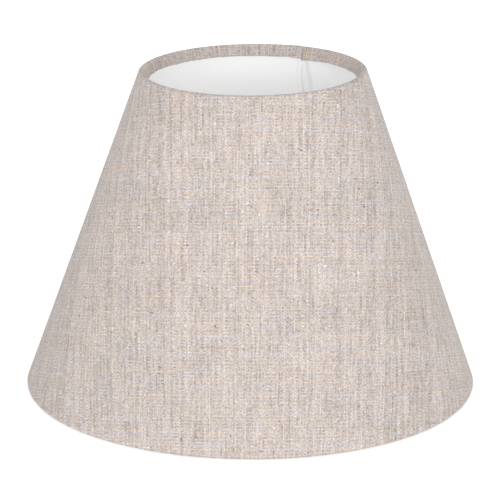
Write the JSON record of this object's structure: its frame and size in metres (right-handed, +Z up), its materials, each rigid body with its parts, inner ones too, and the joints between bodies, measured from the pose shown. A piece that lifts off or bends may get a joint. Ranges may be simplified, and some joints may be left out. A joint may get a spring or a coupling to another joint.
{
  "type": "tapered lamp shade",
  "caption": "Tapered round hardback lamp shade: linen over a white liner, rolled rims, and a wire fitter low inside with a lift-out reducer ring.",
  "frame": {"origin": "centre of the bottom rim, on the surface that the shade stands on", "axes": "+Z up along the shade's axis, -Y the front, the wall's seam at the back, 64 degrees from +X towards +Y"},
  "size_m": [0.3, 0.3, 0.215],
  "materials": {
    "linen": "natural plain-weave linen look, matt, with uneven threads",
    "liner": "white matt sheet, slightly translucent",
    "tape": "thin adhesive tape",
    "wire": "white powder-coated steel, semi-gloss",
    "reducer": "moulded white heat-resistant plastic, satin"
  },
  "bodies": {
    "shade": {"fabric_cover": "linen", "liner_sheet": "liner", "seam_tape": "tape", "hem_tape": "tape", "top_ring": "wire", "bottom_ring": "wire", "fitter_arm_1": "wire", "fitter_arm_2": "wire", "fitter_arm_3": "wire", "fitter_ring": "wire"},
    "reducer": {"reducer_ring": "reducer"}
  },
  "joints": [
    {"name": "reducer_lift", "type": "slide", "parent": "shade", "child": "reducer", "axis": [0, 0, 1], "range_m": [0, 0.19]}
  ]
}
